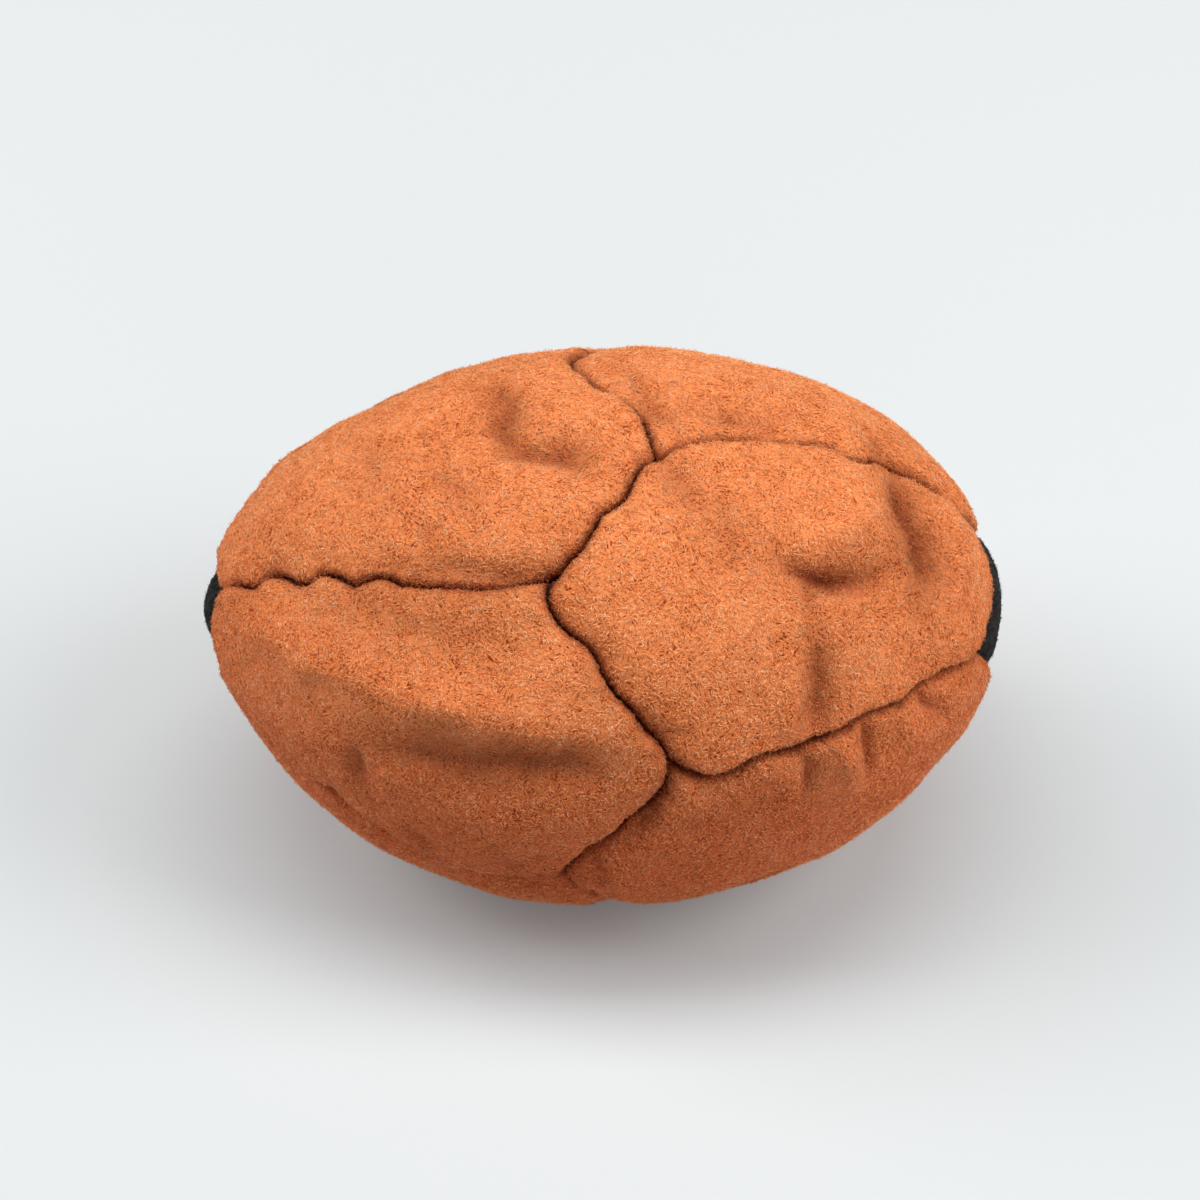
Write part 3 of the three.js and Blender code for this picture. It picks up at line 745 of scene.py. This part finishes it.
# The colours of each suede: its pits, middle and raised ends, a tint for the painted shade of the underside,
# the painted shade of seams and dents, and its sheen
suedeColours = {
    "orange": {
        "dark": "#8a3410", "middle": "#dc7942", "light": "#f59b60",
        "undersideShadeTint": "#dab2a6", "creaseShadeTint": "#641c07", "sheen": "#ffc9a4",
    },
    "orange nap": {
        "dark": "#ea8545", "middle": "#fda664", "light": "#ffca9c",
        "undersideShadeTint": "#f1dad5", "creaseShadeTint": "#84290a", "sheen": "#ffc9a4",
    },
    "black": {
        "dark": "#131212", "middle": "#262525", "light": "#343232",
        "undersideShadeTint": "#e0e0e0", "creaseShadeTint": "#0b0a0a", "sheen": "#8a8683",
    },
    "black nap": {
        "dark": "#232221", "middle": "#333130", "light": "#4a4745",
        "undersideShadeTint": "#e8e8e8", "creaseShadeTint": "#131211", "sheen": "#8a8683",
    },
}


# Streaks that are drawn out along a lay of their own in each tuft
def streakPattern(tree, mm):
    tufts = addNode(tree, "TexVoronoi", {"Vector": mm, "Scale": 1 / suede["streakLay"]}).outputs["Color"]
    centred = addNode(tree, "VectorMath", {0: tufts, 1: (0.5, 0.5, 0.5)}, operation="SUBTRACT").outputs[0]
    lay = addNode(tree, "VectorMath", {0: centred}, operation="NORMALIZE").outputs[0]
    along = addNode(tree, "VectorMath", {0: mm, 1: lay}, operation="DOT_PRODUCT").outputs["Value"]
    short = addNode(tree, "Math", {0: along, 1: suede["streakStretch"]}, operation="MULTIPLY").outputs[0]
    taken = addNode(tree, "VectorMath", {0: lay, "Scale": short}, operation="SCALE").outputs[0]
    stretched = addNode(tree, "VectorMath", {0: mm, 1: taken}, operation="SUBTRACT").outputs[0]
    noise = {"Vector": stretched, "Scale": 1 / suede["streakWidth"], "Detail": 1.5}
    return addNode(tree, "TexNoise", noise).outputs["Fac"]


def suedeMaterial(kind):
    s, colours, ofNap = suede, suedeColours[kind], kind.endswith("nap")
    material, tree, shader = newMaterial(f"split suede, {kind}", s["roughness"])
    mm = millimetres(tree)
    tuft, brushed = (
        addNode(tree, "TexNoise", {"Vector": mm, "Scale": 1 / s[size], "Detail": 2.0}).outputs["Fac"]
        for size in ("tuftSize", "brushedPatch")
    )
    if ofNap:
        speckle = addNode(tree, "NewGeometry").outputs["Random Per Island"]
        shares, places = s["napShares"], s["napStops"]
    else:
        speckle = streakPattern(tree, mm)
        shares, places = s["coverShares"], s["coverStops"]
    shade = 0.5 - sum(shares) / 2
    for value, share in zip((speckle, tuft, brushed), shares):
        shade = addNode(tree, "Math", {0: value, 1: share, 2: shade}, operation="MULTIPLY_ADD").outputs[0]
    ramp = addNode(tree, "ValToRGB", {"Fac": shade})
    stops = ramp.color_ramp.elements
    stops[0].position, stops[0].color = places[0], linear(colours["dark"])
    stops[1].position, stops[1].color = places[2], linear(colours["light"])
    stops.new(places[1]).color = linear(colours["middle"])
    # Painted shade: darker and redder where the cover faces down, and darker along the seams and in the
    # dents
    low, paintedCreaseShade = (addNode(tree, "Attribute", attribute_name=n).outputs["Fac"] for n in ("low", "paintedCreaseShade"))
    undersideShaded = addNode(tree, "Mix", {0: low, 6: ramp.outputs["Color"], 7: linear(colours["undersideShadeTint"])},
                     data_type="RGBA", blend_type="MULTIPLY").outputs[2]
    speckled = {0: speckle, 1: s["creaseGain"], 2: s["creaseLeast"]}
    uneven = addNode(tree, "Math", speckled, operation="MULTIPLY_ADD").outputs[0]
    inCrease = addNode(tree, "Math", {0: paintedCreaseShade, 1: uneven}, operation="MULTIPLY", use_clamp=True).outputs[0]
    darkened = {0: inCrease, 6: undersideShaded, 7: linear(colours["creaseShadeTint"])}
    setInputs(shader, {
        "Base Color": addNode(tree, "Mix", darkened, data_type="RGBA").outputs[2],
        "Specular IOR Level": s["specular"],
        "Sheen Weight": s["sheen"],
        "Sheen Roughness": s["sheenRoughness"],
        "Sheen Tint": linear(colours["sheen"]),
    })
    if not ofNap:
        under = addNode(tree, "Bump", {"Height": tuft, "Distance": s["tuftDepth"] / 1000}).outputs["Normal"]
        relief = {"Height": speckle, "Distance": s["streakDepth"] / 1000, "Normal": under}
        setInputs(shader, {"Normal": addNode(tree, "Bump", relief).outputs["Normal"]})
    return material


suedes = {kind: suedeMaterial(kind) for kind in suedeColours}


def dress(piece, material):
    piece.data.materials.append(material)
    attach(piece, "root")


for order, name in enumerate(outlines):
    piece, grid, shades = makePanel(name)
    colour = "black" if name.endswith("patch") else "orange"
    dress(piece, suedes[colour])
    for kinds in ("nap", "fuzz"):
        fibres = makeNap(name, kinds, grid, shades, seeds[kinds] + order)
        dress(fibres, suedes[f"{colour} nap"])
    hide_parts(name)
    print("panel sewn:", name, len(piece.data.polygons), "faces")

# Bonded polyester thread, three plies twisted: satin, dark brown, a fine slanting twist
thread = {
    "radius": 0.28,  # mm
    "closingRadius": 0.34,
    "endGap": 0.91,  # trimmed off each end, clear of the thread that it ends at
    "plies": 3,
    "plyShare": 0.48,
    "pitch": 2.4,
    "stepsPerTurn": 11,
    "plySides": 6,
    "linerRadius": 0.2,
    "linerDepth": 5.75,
    "knotTurns": 3,
    "knotLength": 1.1,
    "knotRadiusShare": 0.9,
    "knotPlyShare": 0.42,
    "filament": 0.125,
    "filamentDepth": 0.03,
    "colours": ["#2c1a11", "#5c3b28"],
    "roughness": 0.5,
    "sheen": 0.15,
}


def threadMaterial():
    material, tree, shader = newMaterial("bonded polyester thread", thread["roughness"])
    noise = {"Vector": millimetres(tree), "Scale": 1 / thread["filament"], "Detail": 2.0}
    filaments = addNode(tree, "TexNoise", noise).outputs["Fac"]
    ramp = addNode(tree, "ValToRGB", {"Fac": filaments})
    for stop, colour in zip(ramp.color_ramp.elements, thread["colours"]):
        stop.color = linear(colour)
    bump = addNode(tree, "Bump", {"Height": filaments, "Distance": thread["filamentDepth"] / 1000})
    setInputs(shader, {
        "Base Color": ramp.outputs["Color"],
        "Normal": bump.outputs["Normal"],
        "Sheen Weight": thread["sheen"],
    })
    return material


# A line of points at even distances, with the form's normals carried along
def evenRoute(line, depth, spacing, isLoop):
    route = formPoint(line) - formNormal(line) * depth
    ups = formNormal(line)
    if isLoop:
        route, ups = np.concatenate([route, route[:1]]), np.concatenate([ups, ups[:1]])
    run = np.concatenate([[0], np.cumsum(np.linalg.norm(np.diff(route, axis=0), axis=1))])
    gap = 0 if isLoop else thread["endGap"]
    count = round((run[-1] - 2 * gap) / spacing)
    at = np.linspace(gap, run[-1] - gap, count + 1)
    fields = [np.stack([np.interp(at, run, field[:, k]) for k in range(3)], -1) for field in (route, ups)]
    return fields[0], unit(fields[1]), at - gap


# Rings of a tube round a path; ups point out of the path's own curve
def tubePoints(path, ups, radius, tubeSides, isLoop):
    ahead, behind = np.roll(path, -1, 0), np.roll(path, 1, 0)
    if not isLoop:
        ahead[-1], behind[0] = path[-1], path[0]
    along = unit(ahead - behind)
    out = unit(ups - along * (ups * along).sum(1)[:, None])
    aside = np.cross(along, out)
    angles = 2 * math.pi * np.arange(tubeSides) / tubeSides
    spokes = out[:, None] * np.cos(angles)[:, None] + aside[:, None] * np.sin(angles)[:, None]
    return path[:, None] + radius * spokes


def tubeFaces(start, ringCount, tubeSides, isLoop):
    i, j = around(tubeSides)
    a = np.arange(ringCount if isLoop else ringCount - 1)[:, None] * tubeSides
    b = (a + tubeSides) % (ringCount * tubeSides)
    return start + np.stack([a + i, a + j, b + j, b + i], -1).reshape(-1, 4)


def twistedThread(name, line, depth, radius, isLoop, isKnotted=False):
    route, ups, at = evenRoute(line, depth, thread["pitch"] / thread["stepsPerTurn"], isLoop)
    turns = round(at[-1] / thread["pitch"])
    if isLoop:
        route, ups, at = route[:-1], ups[:-1], at[:-1]
    along = unit(np.gradient(route, axis=0))
    sideways = unit(np.cross(ups, along))
    length = at[-1] if not isLoop else at[-1] + at[1]
    paths = []
    for ply in range(thread["plies"]):
        angle = 2 * math.pi * (turns * at / length + ply / thread["plies"])
        spoke = ups * np.cos(angle)[:, None] + sideways * np.sin(angle)[:, None]
        ply = route + spoke * radius * (1 - thread["plyShare"])
        paths.append((ply, spoke, radius * thread["plyShare"], isLoop))
    if isKnotted:
        steps = thread["knotTurns"] * thread["stepsPerTurn"]
        for end in (slice(0, 1), slice(-1, None)):
            angle = 2 * math.pi * np.arange(steps + 1)[:, None] / thread["stepsPerTurn"]
            spoke = ups[end] * np.cos(angle) + sideways[end] * np.sin(angle)
            slide = (np.arange(steps + 1)[:, None] / steps - 0.5) * thread["knotLength"]
            turn = route[end] + along[end] * slide + spoke * radius * thread["knotRadiusShare"]
            paths.append((turn, spoke, radius * thread["knotPlyShare"], False))
    points, quads, caps, start = [], [], [], 0
    for path, spoke, tubeRadius, closed in paths:
        rings = tubePoints(path, spoke, tubeRadius, thread["plySides"], closed)
        quads.append(tubeFaces(start, len(rings), thread["plySides"], closed))
        points.append(rings.reshape(-1, 3))
        size = rings.shape[0] * rings.shape[1]
        if not closed:
            i, j = around(thread["plySides"])
            points.append(path[[0, -1]])
            last = start + size - thread["plySides"]
            caps.append(np.stack([np.full(len(i), start + size), start + j, start + i], 1))
            caps.append(np.stack([np.full(len(i), start + size + 1), last + i, last + j], 1))
            size += 2
        start += size
    piece = buildMesh(f"{name}_twist", np.concatenate(points), quads + caps)
    dress(piece, polyesterThread)
    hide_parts(name)
    return piece


polyesterThread = threadMaterial()
depth = sewing["threadDepth"]
middleLine = np.concatenate([seam["line"][:-1] for seam in zigzagSeams])
twistedThread("middle_seam_thread", middleLine, depth, thread["radius"], True)
for name, seams in (("left_end_thread", leftPatchSeams), ("right_end_thread", rightPatchSeams)):
    twistedThread(name, np.concatenate([seam["line"][:-1] for seam in seams]), depth, thread["radius"], True)
for i in range(sides):
    radius = thread["closingRadius"] if i == 0 else thread["radius"]
    twistedThread(f"left_seam_thread_{i + 1}", leftRaySeams[i]["line"], depth, radius, False, i == 0)
    twistedThread(f"right_seam_thread_{i + 1}", rightRaySeams[i]["line"], depth, thread["radius"], False)
twistedThread("liner_seam_thread", middleLine, thread["linerDepth"], thread["linerRadius"], True)
print("threads twisted")

# Cotton bag and sand, in mm
bag = {
    "wall": 0.4,
    "clearance": 0.45,  # between the suede and the bag
    "valleyHalfWidth": 2.4,  # pressed in by a turned-in edge
    "valleyEdge": 5.0,
    "seamHalfGap": 0.5,
    "rings": [0.0, 0.8, 1.6, 2.4, 2.9, 3.4, 3.9, 4.5, 5.1],
    "innerStep": 1.1,
    "relief": (0.12, 3.5, 77),  # height and size of its small creases, seed
    "seamWeld": 0.01,  # a point this close to the middle seam lies on it
    "yarn": 0.55,  # spacing of the weave
    "weaveDepth": 0.08,
    "weaveShade": 0.2,
    "slub": 5 / 3,  # length of the thicker places in the yarn
    "colours": ["#b9ac8c", "#e6dcc4"],
    "roughness": 0.9,
    "sheen": 0.2,
    "fill": 0.9,
}
sand = {
    "clearance": 0.3,
    "rings": [0.0, 0.55, 1.1, 1.65, 2.2, 2.7, 3.2, 3.7, 4.2, 4.8, 5.4],
    "innerStep": 0.55,
    "relief": (0.1, 1.1, 88),  # height and size of its uneven surface, seed
    "grain": 0.55,
    "grainDepth": 0.3,
    "colours": {0.0: "#8c6b42", 1.0: "#e9ddc2", 0.35: "#b6935f", 0.8: "#cdb083"},  # the ramp's ends first
    "roughness": 0.85,
    "fill": 0.9,
}
middlePoints = formPoint(middleLine)
ahead = np.roll(middlePoints, -1, 0) - np.roll(middlePoints, 1, 0)
leftOfMiddle = unit(np.cross(formNormal(middleLine), ahead))


# A quilted surface that follows the cover's inside: points, and faces seen from outside
def quilt(names, extraDepth, form, halfGap=0.0):
    points, quads, tris, start = [], [], [], 0
    high, size, seed = form["relief"]
    for name in names:
        grid, middle = panelRings(name, form)
        directions = np.concatenate([grid.reshape(-1, 3), middle[None]])
        place, normal = formPoint(directions), formNormal(directions)
        height, _, near, _ = coverRelief(outlines[name], place)
        crown = height - panelSuede["wall"] - bag["clearance"] - extraDepth
        valley = -sewing["allowanceBottom"] - bag["clearance"] - extraDepth
        share = smoothstep(bag["valleyHalfWidth"], bag["valleyEdge"], near)
        sunk = valley + (np.maximum(crown, valley) - valley) * share
        sunk = sunk + high * softNoise(place, size, seed) * share
        place = place + normal * sunk[:, None]
        floor = panelSuede["floorGap"] - ballMiddle[2] + panelSuede["wall"] + bag["clearance"] + extraDepth
        place[:, 2] = np.maximum(place[:, 2], floor)
        ringCount, count = grid.shape[:2]
        if halfGap:
            edge = place[:count]
            distance, k = nearestOn(formPoint(grid[0]), middlePoints)
            isSeam = distance < bag["seamWeld"]
            edge += isSeam[:, None] * leftOfMiddle[k] * halfGap
        points.append(place)
        quads.append(start + ringFaces(ringCount, count)[:, ::-1])
        i, j = around(count)
        last = (ringCount - 1) * count
        tris.append(start + np.stack([last + i, last + j, np.full(count, ringCount * count)], 1))
        start += len(place)
    return np.concatenate(points), np.concatenate(quads), np.concatenate(tris)


# Points that meet become one, so that the patches share their edges
def weld(points, faceSets):
    kept, index = np.unique(np.round(points, 4), axis=0, return_inverse=True)
    return kept, [index.reshape(-1)[faces] for faces in faceSets]


# One half of the bag: an open shell whose edge follows the middle seam
def makeLinerHalf(name, names, openTo):
    gap = openTo * bag["seamHalfGap"]
    shells = [quilt(names, extra, bag, gap) for extra in (0, bag["wall"])]
    size = len(shells[0][0])
    edge = []
    for extra in (0, bag["wall"]):
        sunk = sewing["allowanceBottom"] + bag["clearance"] + extra
        edge.append(middlePoints - formNormal(middleLine) * sunk + leftOfMiddle * gap)
    count = len(middlePoints)
    rim = 2 * size + ringFaces(2, count)
    points = np.concatenate([shells[0][0], shells[1][0], *edge])
    faceSets = [shells[0][1], shells[0][2], shells[1][1][:, ::-1] + size, shells[1][2][:, ::-1] + size, rim]
    kept, faceSets = weld(points, faceSets)
    piece = buildMesh(f"{name}_cloth", kept, faceSets)
    tidy = bmesh.new()
    tidy.from_mesh(piece.data)
    bmesh.ops.recalc_face_normals(tidy, faces=tidy.faces)
    tidy.to_mesh(piece.data)
    tidy.free()
    dress(piece, cottonCloth)
    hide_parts(name)


# Unbleached plain-weave cotton: pale and matt, a square weave of uneven yarns
def cottonMaterial():
    material, tree, shader = newMaterial("unbleached cotton, plain weave", bag["roughness"])
    mm = millimetres(tree)
    split = addNode(tree, "SeparateXYZ", {0: mm}).outputs
    angle = addNode(tree, "Math", {0: split["Z"], 1: split["Y"]}, operation="ARCTAN2").outputs[0]
    perRadian = math.pi * round(ball["bellyRadius"] / bag["yarn"])
    waves = []
    for way, turns in ((split["X"], math.pi / bag["yarn"]), (angle, perRadian)):
        turned = addNode(tree, "Math", {0: way, 1: turns}, operation="MULTIPLY").outputs[0]
        waves.append(addNode(tree, "Math", {0: turned}, operation="SINE").outputs[0])
    weave = addNode(tree, "Math", {0: waves[0], 1: waves[1]}, operation="MULTIPLY").outputs[0]
    slubs = addNode(tree, "TexNoise", {"Vector": mm, "Scale": 1 / bag["slub"], "Detail": 4.0}).outputs["Fac"]
    yarns = {0: weave, 1: bag["weaveShade"], 2: slubs}
    shade = addNode(tree, "Math", yarns, operation="MULTIPLY_ADD").outputs[0]
    ramp = addNode(tree, "ValToRGB", {"Fac": shade})
    for stop, colour in zip(ramp.color_ramp.elements, bag["colours"]):
        stop.color = linear(colour)
    bump = addNode(tree, "Bump", {"Height": weave, "Distance": bag["weaveDepth"] / 1000})
    setInputs(shader, {
        "Base Color": ramp.outputs["Color"],
        "Normal": bump.outputs["Normal"],
        "Sheen Weight": bag["sheen"],
    })
    return material


# Washed fine sand: matt, mixed tan, white and brown grains, each catching the light its own way
def sandMaterial():
    material, tree, shader = newMaterial("washed fine sand", sand["roughness"])
    grains = addNode(tree, "TexVoronoi", {"Vector": millimetres(tree), "Scale": 1 / sand["grain"]}).outputs
    split = addNode(tree, "SeparateColor", {0: grains["Color"]})
    ramp = addNode(tree, "ValToRGB", {"Fac": split.outputs[0]})
    stops = ramp.color_ramp.elements
    for order, (place, colour) in enumerate(sand["colours"].items()):
        stop = stops[order] if order < 2 else stops.new(place)
        stop.color = linear(colour)
    bump = addNode(tree, "Bump", {"Height": grains["Distance"], "Distance": -sand["grainDepth"] / 1000})
    setInputs(shader, {"Base Color": ramp.outputs["Color"], "Normal": bump.outputs["Normal"]})
    return material


cottonCloth = cottonMaterial()
leftNames = [name for name in outlines if name.startswith("left")]
rightNames = [name for name in outlines if name.startswith("right")]
makeLinerHalf("liner_left_half", leftNames, 1)
makeLinerHalf("liner_right_half", rightNames, -1)
print("bag sewn")


def makeSand():
    points, quads, tris = quilt(list(outlines), bag["wall"] + sand["clearance"], sand)
    piece = buildMesh("sand_filling_grains", *weld(points, [quads, tris]))
    dress(piece, sandMaterial())
    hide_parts("sand_filling")


makeSand()
print("sand filled")

# Stage: plain pale floor, a softbox overhead, one high on each side and a weak one in front
stage = {
    "floorColour": "#d0d4d5",
    "paleShare": 0.12,  # of the floor as the camera sees it is plain pale, so that the shadow stays light
    "farPaleShare": 1.0,
    "paleFrom": 0.35,  # m from the ball, where the floor begins to turn plain pale
    "paleTo": 1.0,
    "paleColour": "#eef3f4",
    "floorRoughness": 0.9,
    "floorSpecular": 0.2,
    "floorHalf": 1.5,  # m
    "softboxes": [  # place and size in m, power in W
        {"place": (0.0, 0.14, 1.2), "size": (1.1, 0.4), "power": 8.5},
        {"place": (-0.85, 0.15, 0.75), "size": (0.6, 0.8), "power": 7.6},
        {"place": (0.85, -0.1, 0.75), "size": (0.6, 0.8), "power": 8.4},
        {"place": (0.35, -1.0, 0.4), "size": (1.2, 0.5), "power": 1.5},
    ],
    "aroundColour": "#f4f6f8",
    "aroundStrength": 0.06,
}


def makeFloor():
    half = stage["floorHalf"]
    mesh = bpy.data.meshes.new("floor")
    places = [(x * half, y * half, 0) for x, y in ((-1, -1), (1, -1), (1, 1), (-1, 1))]
    mesh.from_pydata(places, [], [(0, 1, 2, 3)])
    floor = bpy.data.objects.new("floor", mesh)
    bpy.context.scene.collection.objects.link(floor)
    material, tree, shader = newMaterial("matt painted board", stage["floorRoughness"])
    rays = addNode(tree, "LightPath").outputs
    seen = rays["Is Camera Ray"]
    for name in ("Is Glossy Ray", "Is Transmission Ray"):
        seen = addNode(tree, "Math", {0: seen, 1: rays[name]}, operation="MAXIMUM").outputs[0]
    place = addNode(tree, "TexCoord").outputs["Object"]
    away = addNode(tree, "VectorMath", {0: place}, operation="LENGTH").outputs["Value"]
    share = addNode(tree, "MapRange", {
        "Value": away, "From Min": stage["paleFrom"], "From Max": stage["paleTo"],
        "To Min": stage["paleShare"], "To Max": stage["farPaleShare"],
    }, interpolation_type="SMOOTHSTEP").outputs[0]
    glow = addNode(tree, "Math", {0: seen, 1: share}, operation="MULTIPLY").outputs[0]
    board = {0: glow, 6: linear(stage["floorColour"]), 7: linear("#000000")}
    setInputs(shader, {
        "Base Color": addNode(tree, "Mix", board, data_type="RGBA").outputs[2],
        "Emission Strength": glow,
        "Emission Color": linear(stage["paleColour"]),
        "Specular IOR Level": stage["floorSpecular"],
    })
    mesh.materials.append(material)


def makeLights():
    for box in stage["softboxes"]:
        light = bpy.data.lights.new("softbox", "AREA")
        light.shape = "RECTANGLE"
        light.size, light.size_y = box["size"]
        light.energy = box["power"]
        lamp = bpy.data.objects.new("softbox", light)
        lamp.location = box["place"]
        lamp.rotation_euler = (-Vector(box["place"])).to_track_quat("-Z", "Y").to_euler()
        bpy.context.scene.collection.objects.link(lamp)
    world = bpy.data.worlds.new("studio")
    world.use_nodes = True
    around = world.node_tree.nodes["Background"]
    around.inputs["Color"].default_value = linear(stage["aroundColour"])
    around.inputs["Strength"].default_value = stage["aroundStrength"]
    bpy.context.scene.world = world


# The photograph's angle: from the front, 48 degrees up
camera = {
    "elevation": 48.0,
    "distance": 480.0,  # mm
    "aside": -0.3,
    "above": 3.45,
    "lens": 103.52,
    "sensor": 36.0,
}


def makeCamera():
    data = bpy.data.cameras.new("camera")
    data.lens, data.sensor_width = camera["lens"], camera["sensor"]
    seer = bpy.data.objects.new("camera", data)
    slope = math.radians(camera["elevation"])
    ahead = np.array([0, math.cos(slope), -math.sin(slope)])
    up = np.array([0, math.sin(slope), math.cos(slope)])
    place = ballMiddle - ahead * camera["distance"] + up * camera["above"]
    place[0] += camera["aside"]
    seer.location = place / 1000
    seer.rotation_euler = (math.pi / 2 - slope, 0, 0)
    bpy.context.scene.collection.objects.link(seer)
    bpy.context.scene.camera = seer


makeFloor()
makeLights()
makeCamera()
bpy.context.scene.view_settings.view_transform = "Standard"
